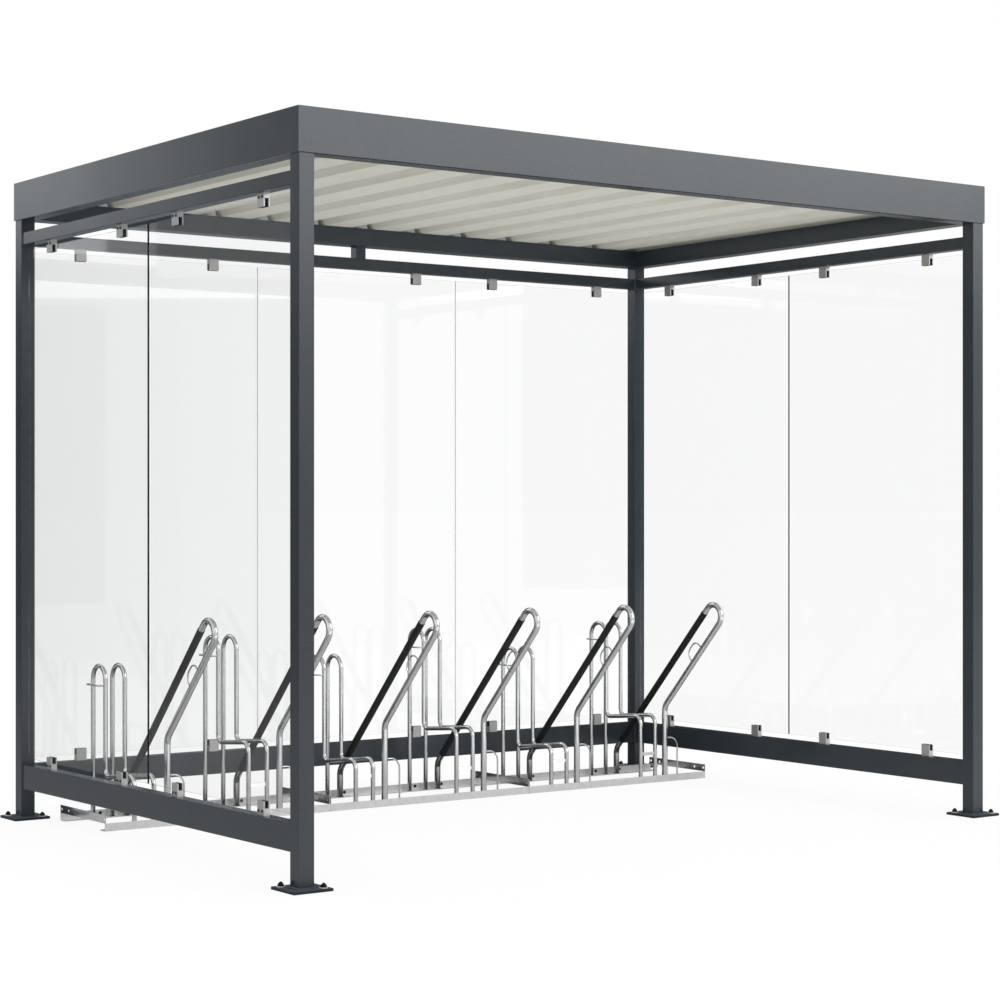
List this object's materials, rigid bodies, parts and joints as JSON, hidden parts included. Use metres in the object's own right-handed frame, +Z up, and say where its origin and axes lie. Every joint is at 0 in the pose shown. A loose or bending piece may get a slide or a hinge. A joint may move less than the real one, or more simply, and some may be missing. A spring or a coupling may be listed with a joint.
{
  "type": "bike shelter with bike rack",
  "caption": "Open-fronted bike shelter: square-tube frame, clamped glass side and back walls, flat ribbed roof behind a fascia, floor-standing rack inside.",
  "frame": {"origin": "on the ground, midway between the four posts", "axes": "+X to the right along the open front, +Y towards the glazed back wall, +Z up"},
  "size_m": [3.443, 2.405, 2.654],
  "materials": {
    "frame_paint": "fine-textured anthracite powder coat",
    "fascia_paint": "satin anthracite powder coat",
    "sheet_coating": "cream-grey coil coating",
    "wall_glass": "clear toughened glass",
    "clamp_steel": "satin stainless steel",
    "rack_zinc": "hot-dip galvanised",
    "sleeve_rubber": "matt black sleeve"
  },
  "bodies": {
    "root": {"post_front_left": "frame_paint", "base_plate_front_left": "frame_paint", "post_front_right": "frame_paint", "base_plate_front_right": "frame_paint", "post_back_left": "frame_paint", "base_plate_back_left": "frame_paint", "post_back_right": "frame_paint", "base_plate_back_right": "frame_paint", "lower_rail_left": "frame_paint", "upper_rail_left": "frame_paint", "glass_clamps_left": "clamp_steel", "lower_rail_right": "frame_paint", "upper_rail_right": "frame_paint", "glass_clamps_right": "clamp_steel", "lower_rail_back": "frame_paint", "upper_rail_back": "frame_paint", "glass_clamps_back": "clamp_steel", "back_strut": "frame_paint", "roof_beam_front": "frame_paint", "fascia_front": "fascia_paint", "roof_beam_back": "frame_paint", "fascia_back": "fascia_paint", "roof_beam_left": "frame_paint", "fascia_left": "fascia_paint", "roof_beam_right": "frame_paint", "fascia_right": "fascia_paint", "roof_sheet": "sheet_coating", "glass_left_front": "wall_glass", "glass_left_back": "wall_glass", "glass_right_front": "wall_glass", "glass_right_back": "wall_glass", "glass_back_left": "wall_glass", "glass_back_middle": "wall_glass", "glass_back_right": "wall_glass", "rack_rails_left": "rack_zinc", "locking_loops_left": "rack_zinc", "lean_frames_left": "rack_zinc", "rack_rails_middle": "rack_zinc", "locking_loops_middle": "rack_zinc", "lean_frames_middle": "rack_zinc", "rack_rails_right": "rack_zinc", "locking_loops_right": "rack_zinc", "lean_frames_right": "rack_zinc", "wheel_holder_1": "rack_zinc", "wheel_holder_2": "rack_zinc", "wheel_holder_3": "rack_zinc", "wheel_holder_4": "rack_zinc", "wheel_holder_5": "rack_zinc", "wheel_holder_6": "rack_zinc", "rack_cross_bars": "rack_zinc", "lean_sleeves": "sleeve_rubber"}
  },
  "joints": []
}
